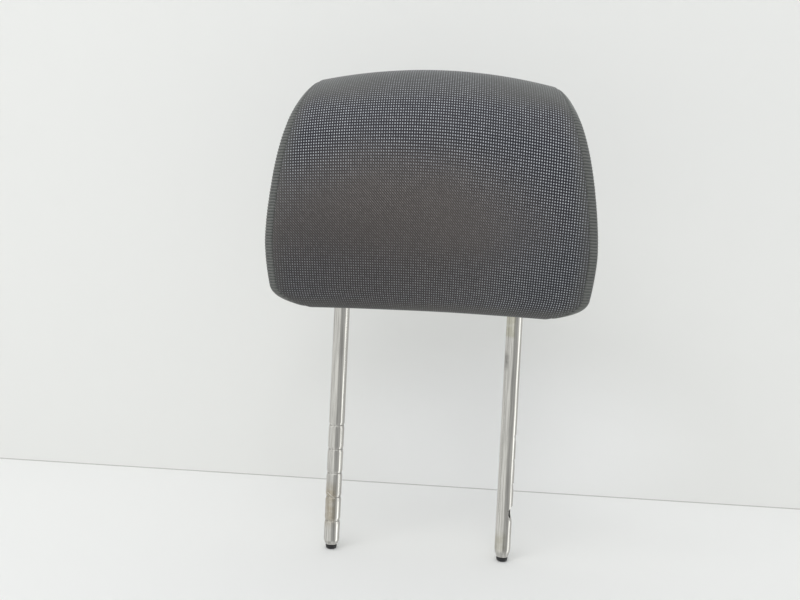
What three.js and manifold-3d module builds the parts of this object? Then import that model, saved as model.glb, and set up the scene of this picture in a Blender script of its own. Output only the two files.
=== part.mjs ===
import * as THREE from 'three';
import { mergeVertices } from 'three/addons/utils/BufferGeometryUtils.js';
import Module from 'manifold-3d';

// Car headrest on two steel posts. Sizes are in millimetres.
// X runs to the right, Y runs backwards through the headrest, Z runs up.
// The origin lies halfway between the lower ends of the posts.
// Inside the root group, height zero is the underside of the cushion.

const wasm = await Module();
wasm.setup();

// Posts: one steel tube bent into a U
const POST_SPACING = 142;
const POST_DIAMETER = 13;
const POST_WALL = 1.5;
const POST_REACH = 199.8;
const BAR_HEIGHT = 104;
const BEND_RADIUS = 34;
const BEND_STEPS = 7;
const TUBE_SIDES = 24;
const BORE_SIDES = 12;

// Closed-in lower end of each leg, left and right
const END_DIAMETER = 9.6;
const END_BORE = 6.4;
const END_LENGTHS = [4.6, 7];
const END_FACE_HEIGHT = 3.6;
const END_CHAMFER = 0.4;

// Ring grooves on the left leg
const FIRST_GROOVE_HEIGHT = 24;
const GROOVE_PITCH = 20;
const GROOVE_COUNT = 5;
const GROOVE_DEPTH = 0.45;
const GROOVE_REACH = 2.8;
const GROOVE_LINE_DEPTH = 0.25;
const GROOVE_LINE_WIDTH = 0.9;

// Latch notches on the outer side of the right leg: a step on top and a ramp below,
// and a deeper lowest notch that opens the tube
const NOTCH_TURN = 15;
const NOTCH_STEP = 1.3;
const NOTCH_DEPTH = 1;
const NOTCH_RAMP = 7.5;
const STOP_NOTCH_INDEX = 1;
const STOP_NOTCH_DEPTH = 2.4;
const STOP_NOTCH_STEP = 2.8;
const STOP_NOTCH_SLANT = 4.6;
const STOP_NOTCH_FLOOR = 3.6;
const STOP_NOTCH_RAMP = 6.6;

// Plastic plug in the end of each leg
const PLUG_DIAMETER = 9.2;
const PLUG_STEM_LENGTH = 11;
const PLUG_FOOT_DIAMETER = 6;

// Cushion form
const CUSHION_HEIGHT = 191.7;
const CUSHION_HALF_WIDTH = 127.5;
const WIDEST_HEIGHT = 50;
const TOP_PULL_IN = 29.7;
const TOP_PULL_POWER = 1.45;
const FOOT_PULL_IN = 3.2;
const FOOT_CORNER_WIDTH = 22;
const FOOT_CORNER_HEIGHT = 19;
const FOOT_CORNER_POWER = 2.5;
const TOP_ARCH = 11.4;
const FOOT_ARCH = 3;
const FRONT_REACH = 78;
const FRONT_HEIGHT = 134;
const FOOT_REACH = 37;
const FOOT_HEIGHT = 17;
const FOOT_FLAT = 17.5;
const BACK_REACH = 41;
const CREST_REACH = 24;
const TOP_ROUND = 34;
const FOOT_ROUND = 20;
const FRONT_CROWN = 8;
const BACK_CROWN = 5;
const EDGE_RADIUS = 10.5;
const SIDE_BULGE = 2.6;
const SEAM_ANGLE = 20;
const PROFILE_STEPS = 5;

// Side profile between those places: how far its joints lie inside the reach or below the height
// of the face, their slopes as y over height, and how far the curves hold their slope
const BROW_DROP = 4.5;
const BROW_SLOPE = 0.42;
const BELLY_DROP = 6.4;
const BELLY_FALL = 34;
const BELLY_SLOPE = -0.34;
const FOOT_SLOPE = -0.68;
const NAPE_DROP = 13;
const NAPE_FALL = 4;
const NAPE_SLOPE = -0.31;
const BACK_DROP = 1;
const BACK_SLOPE = 0.03;
const CREST_BACK_HOLD = 26;
const CREST_FRONT_HOLD = 18;
const HEEL_HOLD = 10;
const SOLE_HOLD = 8;
const FACE_HOLD = 0.33;
const TURN_HOLD = 0.5;

// Cover, foam and their clearances
const CLOTH = 2;
const SEAM_GAP = 0.3;
const GAP = 0.3;
const HEM_GAP = 6;

// Moulded core, two halves screwed together round the tube
const CORE_FOOT = 30;
const CORE_TOP = 144;
const CORE_FOOT_HALF = 95;
const CORE_TOP_HALF = 82;
const CORE_CORNER = 16;
const CORE_FRONT_DEPTH = 17;
const CORE_REAR_DEPTH = 14;
const CORE_BEVEL = 4;
const CORE_WALL = 2.2;
const RIB = 2;
const SADDLE_HEIGHTS = [44, 60];
const SADDLE_LENGTH = 30;
const BAR_RIB_OFFSETS = [-32, 0, 32];
const BOSS_DIAMETER = 10;
const BOSS_PLACES = [[46, 52], [60, 127]];

// Self-tapping screws through the rear half
const SCREW_SHANK = 3.8;
const SCREW_LENGTH = 18;
const SCREW_HEAD = 7.4;
const SCREW_HEAD_HEIGHT = 2.4;

// Closure strips: two plastic hook profiles sewn to the cover's hems
const STRIP_THICKNESS = 1.5;
const STRIP_PLATE = 12;
const STRIP_RISE = 6;
const STRIP_HOOK = 5;
const STRIP_LIP = 3.2;
const STRIP_MARGIN = 6;

const POST_RADIUS = POST_DIAMETER / 2;
const LEG_X = POST_SPACING / 2;
const DEGREE = Math.PI / 180;

const steel = { color: 0xb4b2ac, metalness: 1, roughness: 0.28 };
const blackPlastic = { color: 0x17171a, metalness: 0, roughness: 0.5 };
const corePlastic = { color: 0x4a4c50, metalness: 0, roughness: 0.6 };
const foam = { color: 0xd9d2b4, metalness: 0, roughness: 0.95 };
const cloth = { color: 0x57565a, metalness: 0, roughness: 0.92 };
const sideCloth = { color: 0x5e5e5f, metalness: 0, roughness: 0.9 };

const headrest = new THREE.Group();
headrest.name = 'headrest';
headrest.position.z = POST_REACH;

// Solids and meshes

function trianglesOf(geometry) {
  const bare = new THREE.BufferGeometry();
  bare.setAttribute('position', geometry.getAttribute('position').clone());
  if (geometry.index) {
    bare.setIndex(geometry.index.clone());
  }
  const welded = mergeVertices(bare, 1e-4);
  const kept = [];
  const index = welded.index.array;
  for (let i = 0; i < index.length; i += 3) {
    const [a, b, c] = [index[i], index[i + 1], index[i + 2]];
    if (a !== b && b !== c && c !== a) {
      kept.push(a, b, c);
    }
  }
  return { points: welded.getAttribute('position').array, kept };
}

// A solid from a closed skin, with its faces turned outwards
function solidOf(geometry) {
  const { points, kept } = trianglesOf(geometry);
  let volume = 0;
  const [a, b, c] = [new THREE.Vector3(), new THREE.Vector3(), new THREE.Vector3()];
  for (let i = 0; i < kept.length; i += 3) {
    a.fromArray(points, kept[i] * 3);
    b.fromArray(points, kept[i + 1] * 3);
    c.fromArray(points, kept[i + 2] * 3);
    volume += a.dot(b.cross(c));
  }
  if (volume < 0) {
    kept.reverse();
  }
  const mesh = new wasm.Mesh({
    numProp: 3,
    vertProperties: new Float32Array(points),
    triVerts: new Uint32Array(kept),
  });
  return new wasm.Manifold(mesh);
}

function geometryOf(solid) {
  const mesh = solid.getMesh();
  const geometry = new THREE.BufferGeometry();
  geometry.setAttribute('position', new THREE.BufferAttribute(mesh.vertProperties, 3));
  geometry.setIndex(new THREE.BufferAttribute(mesh.triVerts, 1));
  geometry.computeVertexNormals();
  return geometry;
}

function addPiece(name, geometry, finish, parent = headrest) {
  const mesh = new THREE.Mesh(geometry, new THREE.MeshStandardMaterial(finish));
  mesh.name = name;
  parent.add(mesh);
  return mesh;
}

function joined(solids) {
  return solids.reduce((sum, solid) => sum.add(solid));
}

function cylinder(radius, from, to, sides) {
  const geometry = new THREE.CylinderGeometry(radius, radius, to - from, sides);
  geometry.rotateX(Math.PI / 2);
  geometry.translate(0, 0, (from + to) / 2);
  return geometry;
}

function box(width, depth, height, x, y, z) {
  const geometry = new THREE.BoxGeometry(width, depth, height);
  geometry.translate(x, y, z);
  return geometry;
}

// A skin over loops of points: the loops follow one another, the last loop may meet the first
function loft(loops, ending) {
  const size = loops[0].length;
  const index = [];
  const last = ending === 'closed' ? loops.length : loops.length - 1;
  for (let i = 0; i < last; i += 1) {
    const here = i * size;
    const next = ((i + 1) % loops.length) * size;
    for (let j = 0; j < size; j += 1) {
      const k = (j + 1) % size;
      const ahead = loops[(i + 1) % loops.length];
      if (loops[i][j].distanceTo(ahead[k]) < loops[i][k].distanceTo(ahead[j])) {
        index.push(here + j, here + k, next + k, here + j, next + k, next + j);
      } else {
        index.push(here + j, here + k, next + j, here + k, next + k, next + j);
      }
    }
  }
  if (ending === 'capped') {
    const end = (loops.length - 1) * size;
    for (let j = 0; j < size / 2 - 1; j += 1) {
      const far = size - 1 - j;
      index.push(j, far, far - 1, j, far - 1, j + 1);
      index.push(end + j, end + far - 1, end + far, end + j, end + j + 1, end + far - 1);
    }
  }
  const geometry = new THREE.BufferGeometry();
  geometry.setFromPoints(loops.flat());
  geometry.setIndex(index);
  return geometry;
}

// Centre line of the tube, from the left end over the crossbar to the right end
class TubeLine extends THREE.Curve {
  constructor(lowEnd) {
    super();
    this.stations = [new THREE.Vector3(-LEG_X, 0, lowEnd)];
    this.tangents = [new THREE.Vector3(0, 0, 1)];
    for (const side of [-1, 1]) {
      for (let i = 0; i <= BEND_STEPS; i += 1) {
        const angle = side < 0 ? Math.PI - (i * 90 * DEGREE) / BEND_STEPS
          : Math.PI / 2 - (i * 90 * DEGREE) / BEND_STEPS;
        this.stations.push(new THREE.Vector3(
          side * (LEG_X - BEND_RADIUS) + BEND_RADIUS * Math.cos(angle),
          0,
          BAR_HEIGHT - BEND_RADIUS + BEND_RADIUS * Math.sin(angle),
        ));
        this.tangents.push(new THREE.Vector3(Math.sin(angle), 0, -Math.cos(angle)));
      }
    }
    this.stations.push(new THREE.Vector3(LEG_X, 0, lowEnd));
    this.tangents.push(new THREE.Vector3(0, 0, -1));
  }

  getPoint(t) {
    const place = t * (this.stations.length - 1);
    const low = Math.min(Math.floor(place), this.stations.length - 2);
    return this.stations[low].clone().lerp(this.stations[low + 1], place - low);
  }

  getPointAt(u) {
    return this.getPoint(u);
  }

  getTangentAt(u) {
    return this.tangents[Math.round(u * (this.tangents.length - 1))].clone();
  }
}

function roundShape(radius, sides) {
  const shape = new THREE.Shape();
  for (let i = 0; i < sides; i += 1) {
    const angle = (i * 2 * Math.PI) / sides;
    const x = radius * Math.cos(angle);
    const y = radius * Math.sin(angle);
    if (i === 0) {
      shape.moveTo(x, y);
    } else {
      shape.lineTo(x, y);
    }
  }
  return shape;
}

function rodAlongTube(radius, lowEnd, sides) {
  const line = new TubeLine(lowEnd);
  return solidOf(new THREE.ExtrudeGeometry(roundShape(radius, sides), {
    steps: line.stations.length - 1,
    extrudePath: line,
    bevelEnabled: false,
  }));
}

// A ring of metal that a groove or the closed-in end takes off a leg
function ringCutter(profile, x) {
  const points = profile.map(([radius, height]) => new THREE.Vector2(radius, height));
  points.push(points[0].clone());
  const geometry = new THREE.LatheGeometry(points, TUBE_SIDES);
  geometry.rotateX(Math.PI / 2);
  geometry.translate(x, 0, 0);
  return solidOf(geometry);
}

const tipHeight = -POST_REACH;
const metalEnd = tipHeight + END_FACE_HEIGHT;

// Height of a groove or notch, counted from the lowest
function notchHeight(i) {
  return tipHeight + FIRST_GROOVE_HEIGHT + i * GROOVE_PITCH;
}

// A notch on the right leg, from its profile of depth against height
function notchCutter(profile) {
  const shape = new THREE.Shape(profile.map(([depth, height]) => (
    new THREE.Vector2(POST_RADIUS - depth, height)
  )));
  const geometry = new THREE.ExtrudeGeometry(shape, { depth: POST_DIAMETER, bevelEnabled: false });
  geometry.translate(0, 0, -POST_RADIUS);
  geometry.rotateX(Math.PI / 2);
  geometry.rotateZ(-NOTCH_TURN * DEGREE);
  geometry.translate(LEG_X, 0, 0);
  return solidOf(geometry);
}

function latchNotch(i) {
  const top = notchHeight(i) + NOTCH_STEP;
  const share = (NOTCH_DEPTH + GAP) / NOTCH_DEPTH;
  return notchCutter([
    [NOTCH_DEPTH, top],
    [NOTCH_DEPTH, top - NOTCH_STEP],
    [-GAP, top - share * NOTCH_RAMP],
    [-GAP, top],
  ]);
}

function stopNotch(i) {
  const top = notchHeight(i) + STOP_NOTCH_STEP;
  const floor = top - STOP_NOTCH_SLANT;
  const share = (STOP_NOTCH_DEPTH + GAP) / STOP_NOTCH_DEPTH;
  return notchCutter([
    [-GAP, floor + share * STOP_NOTCH_SLANT],
    [STOP_NOTCH_DEPTH, floor],
    [STOP_NOTCH_DEPTH, floor - STOP_NOTCH_FLOOR],
    [-GAP, floor - STOP_NOTCH_FLOOR - share * STOP_NOTCH_RAMP],
  ]);
}

function ringGroove(i) {
  const height = notchHeight(i);
  const flare = ((GROOVE_DEPTH + GAP) / GROOVE_DEPTH) * GROOVE_REACH;
  const bottom = POST_RADIUS - GROOVE_DEPTH;
  return ringCutter([
    [bottom - GROOVE_LINE_DEPTH, height],
    [bottom, height + GROOVE_LINE_WIDTH / 2],
    [POST_RADIUS + GAP, height + flare],
    [POST_RADIUS + GAP, height - flare],
    [bottom, height - GROOVE_LINE_WIDTH / 2],
  ], -LEG_X);
}

// What closing in takes off the end of a leg: a rounded shoulder down to a small chamfer
function endCutter(x, length) {
  const end = END_DIAMETER / 2;
  const drop = POST_RADIUS - end;
  return ringCutter([
    [end - 2 * END_CHAMFER, metalEnd - END_CHAMFER],
    [end, metalEnd + END_CHAMFER],
    [end + drop * 0.45, metalEnd + length * 0.4],
    [end + drop * 0.82, metalEnd + length * 0.72],
    [POST_RADIUS + GAP, metalEnd + length + GAP * 3],
    [POST_RADIUS + GAP, metalEnd - END_CHAMFER],
  ], x);
}

function postFrame() {
  const boreStart = metalEnd + Math.max(...END_LENGTHS) + POST_WALL * 2;
  let tube = rodAlongTube(POST_RADIUS, metalEnd, TUBE_SIDES);
  tube = tube.subtract(rodAlongTube(POST_RADIUS - POST_WALL, boreStart, BORE_SIDES));
  END_LENGTHS.forEach((length, i) => {
    const x = i === 0 ? -LEG_X : LEG_X;
    const bore = cylinder(END_BORE / 2, metalEnd - 1, boreStart + POST_WALL, BORE_SIDES);
    bore.translate(x, 0, 0);
    tube = tube.subtract(endCutter(x, length)).subtract(solidOf(bore));
  });
  for (let i = 0; i < GROOVE_COUNT; i += 1) {
    tube = tube.subtract(ringGroove(i));
  }
  for (let i = STOP_NOTCH_INDEX; i < GROOVE_COUNT; i += 1) {
    tube = tube.subtract(i === STOP_NOTCH_INDEX ? stopNotch(i) : latchNotch(i));
  }
  return tube;
}

addPiece('post_frame', geometryOf(postFrame()), steel);

// Plug: a domed foot, a shoulder under the metal and a stem in the bore
function plugGeometry() {
  const shoulder = END_FACE_HEIGHT - GAP;
  const outline = [
    [0, 0],
    [PLUG_FOOT_DIAMETER / 2, 0],
    [PLUG_DIAMETER / 2 - 0.6, 0.5],
    [PLUG_DIAMETER / 2, 1.6],
    [PLUG_DIAMETER / 2, shoulder],
    [END_BORE / 2 - GAP, shoulder],
    [END_BORE / 2 - GAP, shoulder + PLUG_STEM_LENGTH - 1],
    [END_BORE / 2 - GAP - 1, shoulder + PLUG_STEM_LENGTH],
    [0, shoulder + PLUG_STEM_LENGTH],
  ].map(([radius, height]) => new THREE.Vector2(radius, height));
  const geometry = new THREE.LatheGeometry(outline, 24);
  geometry.rotateX(Math.PI / 2);
  return geometryOf(solidOf(geometry));
}

for (const [name, side] of [['end_plug_left', -1], ['end_plug_right', 1]]) {
  const plug = addPiece(name, plugGeometry(), blackPlastic);
  plug.position.set(side * LEG_X, 0, tipHeight);
}

// Handle of a profile curve: from its end along the end's slope, part of the way to another end's height
function handle(end, slope, towards, share) {
  const rise = (towards[1] - end[1]) * share;
  return [end[0] + slope * rise, end[1] + rise];
}

// Side profile of the cushion, y against height, from the rear hem round to the front hem
function sideProfile() {
  const hem = HEM_GAP / 2;
  const heel = [BACK_REACH - FOOT_ROUND, 0];
  const back = [BACK_REACH - BACK_DROP, FOOT_ROUND];
  const nape = [BACK_REACH - NAPE_DROP, FRONT_HEIGHT - NAPE_FALL];
  const crest = [-CREST_REACH, CUSHION_HEIGHT];
  const brow = [BROW_DROP - FRONT_REACH, CUSHION_HEIGHT - TOP_ROUND];
  const belly = [BELLY_DROP - FRONT_REACH, FRONT_HEIGHT - BELLY_FALL];
  const foot = [-FOOT_REACH, FOOT_HEIGHT];
  const sole = [-FOOT_FLAT, 0];
  const curves = [
    [[heel[0] + HEEL_HOLD, 0], handle(back, BACK_SLOPE, heel, TURN_HOLD), back],
    [handle(back, BACK_SLOPE, nape, FACE_HOLD), handle(nape, NAPE_SLOPE, back, FACE_HOLD), nape],
    [handle(nape, NAPE_SLOPE, crest, TURN_HOLD), [crest[0] + CREST_BACK_HOLD, crest[1]], crest],
    [[crest[0] - CREST_FRONT_HOLD, crest[1]], handle(brow, BROW_SLOPE, crest, TURN_HOLD), brow],
    [handle(brow, BROW_SLOPE, belly, FACE_HOLD), handle(belly, BELLY_SLOPE, brow, FACE_HOLD), belly],
    [handle(belly, BELLY_SLOPE, foot, FACE_HOLD), handle(foot, FOOT_SLOPE, belly, FACE_HOLD), foot],
    [handle(foot, FOOT_SLOPE, sole, TURN_HOLD), [sole[0] - SOLE_HOLD, 0], sole],
  ];
  const shape = new THREE.Shape();
  shape.moveTo(hem, 0);
  shape.lineTo((hem + heel[0]) / 2, 0);
  shape.lineTo(...heel);
  curves.forEach((curve) => shape.bezierCurveTo(...curve.flat()));
  shape.lineTo((sole[0] - hem) / 2, 0);
  shape.lineTo(-hem, 0);
  return shape.getPoints(PROFILE_STEPS);
}

const profile = sideProfile();
const profileBox = new THREE.Box2().setFromPoints(profile);
const profileCentre = profileBox.getCenter(new THREE.Vector2());
const profileHalf = profileBox.getSize(new THREE.Vector2()).multiplyScalar(0.5);

// Half width of the cushion at a height
function halfWidth(height) {
  const above = Math.max(height - WIDEST_HEIGHT, 0) / (CUSHION_HEIGHT - WIDEST_HEIGHT);
  const below = Math.max(WIDEST_HEIGHT - height, 0) / WIDEST_HEIGHT;
  const corner = Math.max(FOOT_CORNER_HEIGHT - height, 0) / FOOT_CORNER_HEIGHT;
  return CUSHION_HALF_WIDTH - TOP_PULL_IN * above ** TOP_PULL_POWER - FOOT_PULL_IN * below * below
    - FOOT_CORNER_WIDTH * corner ** FOOT_CORNER_POWER;
}

function footArch(x) {
  const across = x / CUSHION_HALF_WIDTH;
  return FOOT_ARCH * (1 - across * across);
}

// Stations across the cushion, signed by side: up to 1 on the faces, up to 2 round the rounded edge,
// up to 3 from the rim of the side panel to its middle
const SEAM_STATION = 1 + SEAM_ANGLE / 90;

function stationsAcross() {
  const step = SEAM_GAP / 2 / (EDGE_RADIUS * 90 * DEGREE);
  const right = [
    ...[0.3, 0.58, 0.82, 1],
    ...[1.15, SEAM_STATION - step, SEAM_STATION + step, 1.53, 1.77, 2],
    ...[2.4, 3],
  ];
  return [...right.map((station) => -station).reverse(), 0, ...right];
}

const stations = stationsAcross();
const wrapFirst = stations.findIndex((station) => station > -SEAM_STATION);
const wrapLast = stations.length - 1 - wrapFirst;

// Point of the cover's outer face at a station across and a point of the side profile
function formPoint(station, at) {
  const place = Math.abs(station);
  const side = Math.sign(station);
  const spread = Math.min(place, 1);
  const angle = THREE.MathUtils.clamp(place - 1, 0, 1) * 90 * DEGREE;
  const shrink = Math.min(3 - place, 1);
  const inset = EDGE_RADIUS * (1 - Math.cos(angle));
  const scaleY = (1 - inset / profileHalf.x) * shrink;
  const scaleZ = (1 - inset / profileHalf.y) * shrink;
  const y = profileCentre.x + (at.x - profileCentre.x) * scaleY;
  const z = profileCentre.y + (at.y - profileCentre.y) * scaleZ;
  const width = halfWidth(z);
  const reach = EDGE_RADIUS * Math.sin(angle) + SIDE_BULGE * (1 - shrink * shrink);
  const x = side * ((width - EDGE_RADIUS) * spread + reach);
  const across = x / width;
  const arched = z - TOP_ARCH * (z / CUSHION_HEIGHT) ** 2 * across * across
    + footArch(x) * (1 - z / CUSHION_HEIGHT);
  const crown = y < 0 ? (FRONT_CROWN * y) / profileBox.min.x : (-BACK_CROWN * y) / profileBox.max.x;
  return new THREE.Vector3(x, y + crown * across * across, arched);
}

const skin = stations.map((station) => profile.map((at) => formPoint(station, at)));

// Outward direction of the cover at a grid point
function outward(i, j) {
  const station = stations[i];
  if (Math.abs(station) === 3) {
    return new THREE.Vector3(Math.sign(station), 0, 0);
  }
  const nudge = 0.01;
  const count = profile.length;
  const along = skin[i][(j + 1) % count].clone().sub(skin[i][(j + count - 1) % count]);
  const across = formPoint(station + nudge, profile[j]).sub(formPoint(station - nudge, profile[j]));
  return along.cross(across).normalize();
}

function underSkin(i, j, depth) {
  return skin[i][j].clone().addScaledVector(outward(i, j), -depth);
}

function range(from, to) {
  return Array.from({ length: to - from + 1 }, (_, i) => from + i);
}

// Wrap panel: front, top, back and underside in one, with its two hems under the cushion
function wrapSolid() {
  const across = range(wrapFirst, wrapLast);
  const loops = profile.map((_, j) => [
    ...across.map((i) => underSkin(i, j, 0)),
    ...across.slice().reverse().map((i) => underSkin(i, j, CLOTH)),
  ]);
  return solidOf(loft(loops, 'capped'));
}

// Side panel: the seam edge, the outer face to its middle and back along the inner face
function sideSolid(side) {
  const across = side < 0 ? range(0, wrapFirst - 1).reverse()
    : range(wrapLast + 1, stations.length - 1);
  const loops = profile.map((_, j) => [
    ...across.map((i) => underSkin(i, j, 0)),
    ...across.slice().reverse().map((i) => underSkin(i, j, CLOTH)),
  ]);
  return solidOf(loft(loops, 'closed'));
}

function foamForm(depth) {
  const loops = stations.map((_, i) => profile.map((_, j) => underSkin(i, j, depth)));
  return solidOf(loft(loops, 'open'));
}

function postPassage(clearance, from, to) {
  return joined([-1, 1].map((side) => {
    const passage = cylinder(POST_RADIUS + clearance, from, to, TUBE_SIDES);
    passage.translate(side * LEG_X, 0, 0);
    return solidOf(passage);
  }));
}

// Closure strips, drawn in y and height above the cover's inner face
function stripShape(side, grow) {
  const t = STRIP_THICKNESS;
  const outer = side * (HEM_GAP / 2 + STRIP_PLATE);
  const shape = new THREE.Shape();
  if (grow > 0) {
    shape.moveTo(-outer - side * grow, -CLOTH);
    shape.lineTo(outer + side * grow, -CLOTH);
    shape.lineTo(outer + side * grow, t + grow);
    shape.lineTo(side * (STRIP_HOOK + grow), STRIP_RISE + grow);
    shape.lineTo(-side * (STRIP_HOOK + grow), STRIP_RISE + grow);
    shape.lineTo(-outer - side * grow, t + grow);
    return shape;
  }
  if (side < 0) {
    const rise = -t - GAP / 2;
    const tip = rise + STRIP_HOOK;
    shape.moveTo(outer, 0);
    shape.lineTo(rise + t, 0);
    shape.lineTo(rise + t, STRIP_RISE - t);
    shape.lineTo(tip - t, STRIP_RISE - t);
    shape.lineTo(tip - t, STRIP_RISE - STRIP_LIP);
    shape.lineTo(tip, STRIP_RISE - STRIP_LIP);
    shape.lineTo(tip, STRIP_RISE);
    shape.lineTo(rise, STRIP_RISE);
    shape.lineTo(rise, t);
    shape.lineTo(outer, t);
    return shape;
  }
  const rise = GAP / 2 + GAP;
  const legTop = STRIP_RISE - t - GAP;
  shape.moveTo(outer, 0);
  shape.lineTo(outer, t);
  shape.lineTo(rise + t - GAP, t);
  shape.lineTo(rise + t - GAP, legTop);
  shape.lineTo(rise - GAP, legTop);
  shape.lineTo(rise - GAP, 0);
  return shape;
}

const stripHalfLength = halfWidth(0) - EDGE_RADIUS - STRIP_MARGIN;

function stripSolid(side, grow) {
  const length = 2 * (stripHalfLength + grow);
  const geometry = new THREE.ExtrudeGeometry(stripShape(side, grow), {
    depth: length,
    steps: 8,
    bevelEnabled: false,
  });
  geometry.translate(0, 0, -length / 2);
  const turn = new THREE.Matrix4().makeBasis(
    new THREE.Vector3(0, 1, 0),
    new THREE.Vector3(0, 0, 1),
    new THREE.Vector3(1, 0, 0),
  );
  geometry.applyMatrix4(turn);
  const position = geometry.getAttribute('position');
  for (let i = 0; i < position.count; i += 1) {
    position.setZ(i, position.getZ(i) + CLOTH + GAP + footArch(position.getX(i)));
  }
  return solidOf(geometry);
}

// Outline of the core seen from the front, grown or shrunk all round
function coreOutline(grow) {
  const foot = CORE_FOOT - grow;
  const top = CORE_TOP + grow;
  const low = CORE_FOOT_HALF + grow;
  const high = CORE_TOP_HALF + grow;
  const r = Math.max(CORE_CORNER + grow, 1);
  const shape = new THREE.Shape();
  shape.moveTo(-low + r, foot);
  shape.lineTo(low - r, foot);
  shape.quadraticCurveTo(low, foot, low - 1, foot + r);
  shape.lineTo(high + 1, top - r);
  shape.quadraticCurveTo(high, top, high - r, top);
  shape.lineTo(-high + r, top);
  shape.quadraticCurveTo(-high, top, -high - 1, top - r);
  shape.lineTo(-low + 1, foot + r);
  shape.quadraticCurveTo(-low, foot, -low + r, foot);
  return shape;
}

// Half of the core as a block, from the parting plane to its face
function coreBlock(side, grow, depth, parting) {
  const bevel = Math.min(CORE_BEVEL, depth - 1);
  const geometry = new THREE.ExtrudeGeometry(coreOutline(grow), {
    depth: depth + grow - bevel,
    curveSegments: 4,
    bevelEnabled: true,
    bevelThickness: bevel,
    bevelSize: bevel,
    bevelOffset: -bevel,
    bevelSegments: 1,
  });
  const turn = new THREE.Matrix4().makeBasis(
    new THREE.Vector3(1, 0, 0),
    new THREE.Vector3(0, 0, 1),
    new THREE.Vector3(0, -1, 0),
  );
  geometry.applyMatrix4(turn);
  if (side > 0) {
    geometry.rotateZ(Math.PI);
  }
  const reach = 2 * (depth + grow + bevel);
  const wide = 4 * CORE_FOOT_HALF;
  const keep = box(wide, reach, wide, 0, side * (parting + reach / 2), CORE_TOP / 2);
  return solidOf(geometry).intersect(solidOf(keep));
}

function screwPlaces() {
  return BOSS_PLACES.flatMap(([x, z]) => [[-x, z], [x, z]]);
}

function coreHalf(side) {
  const depth = side < 0 ? CORE_FRONT_DEPTH : CORE_REAR_DEPTH;
  const parting = GAP / 2;
  const block = coreBlock(side, 0, depth, parting);
  const hollow = coreBlock(side, -CORE_WALL, depth, -1);
  const y = (side * depth) / 2;
  const middle = (CORE_FOOT + CORE_TOP) / 2;
  const ribs = [];
  for (const height of SADDLE_HEIGHTS) {
    for (const leg of [-1, 1]) {
      ribs.push(box(SADDLE_LENGTH, depth, RIB, leg * LEG_X, y, height));
    }
  }
  for (const x of BAR_RIB_OFFSETS) {
    ribs.push(box(RIB, depth, CORE_TOP - CORE_FOOT, x, y, middle));
  }
  for (const leg of [-1, 1]) {
    const beside = leg * (LEG_X - SADDLE_LENGTH / 2);
    const rise = SADDLE_HEIGHTS[1] - CORE_FOOT;
    ribs.push(box(RIB, depth, rise, beside, y, CORE_FOOT + rise / 2));
  }
  for (const height of [BOSS_PLACES[0][1], BOSS_PLACES[1][1]]) {
    ribs.push(box(2 * CORE_FOOT_HALF, depth, RIB, 0, y, height));
  }
  const posts = screwPlaces().map(([x, z]) => {
    const boss = new THREE.CylinderGeometry(BOSS_DIAMETER / 2, BOSS_DIAMETER / 2, depth, 14);
    boss.translate(x, y, z);
    return solidOf(boss);
  });
  const inside = joined([...ribs.map(solidOf), ...posts]).intersect(block);
  let half = block.subtract(hollow).add(inside);
  half = half.subtract(rodAlongTube(POST_RADIUS + GAP, -CORE_FOOT, BORE_SIDES));
  for (const [x, z] of screwPlaces()) {
    half = half.subtract(screwRoom(side, x, z));
  }
  return half;
}

const screwSeat = CORE_REAR_DEPTH - CORE_WALL;

// Hole for a screw: a pilot hole in the front half, a clearance hole and head recess in the rear half
function screwRoom(side, x, z) {
  const clearance = side < 0 ? GAP / 2 : GAP;
  const radius = SCREW_SHANK / 2 + clearance;
  const tip = screwSeat - SCREW_LENGTH - GAP;
  const hole = new THREE.CylinderGeometry(radius, radius, screwSeat + 1 - tip, 12);
  hole.translate(x, (screwSeat + 1 + tip) / 2, z);
  const recess = new THREE.CylinderGeometry(SCREW_HEAD / 2 + GAP, SCREW_HEAD / 2 + GAP, CORE_REAR_DEPTH, 14);
  recess.translate(x, screwSeat + CORE_REAR_DEPTH / 2, z);
  return side < 0 ? solidOf(hole) : solidOf(hole).add(solidOf(recess));
}

// Screw along Y with its head at the back
function screwGeometry() {
  const r = SCREW_SHANK / 2;
  const head = SCREW_HEAD / 2;
  const outline = [
    [0, -SCREW_LENGTH],
    [r * 0.4, -SCREW_LENGTH],
    [r, -SCREW_LENGTH + 3],
    [r, GAP / 2],
    [head, GAP / 2],
    [head, SCREW_HEAD_HEIGHT * 0.6],
    [head * 0.7, SCREW_HEAD_HEIGHT],
    [0, SCREW_HEAD_HEIGHT],
  ].map(([radius, height]) => new THREE.Vector2(radius, height));
  return geometryOf(solidOf(new THREE.LatheGeometry(outline, 12)));
}

const passage = postPassage(GAP, -CORE_FOOT, CORE_FOOT + CORE_WALL);
const coverPassage = postPassage(GAP * 2, -CORE_FOOT, CORE_FOOT / 2);

addPiece('core_front', geometryOf(coreHalf(-1)), corePlastic);
addPiece('core_rear', geometryOf(coreHalf(1)), corePlastic);

screwPlaces().forEach(([x, z], i) => {
  const screw = addPiece(`core_screw_${i + 1}`, screwGeometry(), steel);
  screw.position.set(x, screwSeat, z);
});

function foamSolid() {
  const pocket = coreBlock(-1, GAP, CORE_FRONT_DEPTH, -1).add(coreBlock(1, GAP, CORE_REAR_DEPTH, -1));
  return foamForm(CLOTH + GAP)
    .subtract(pocket)
    .subtract(passage)
    .subtract(stripSolid(1, GAP));
}

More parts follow.
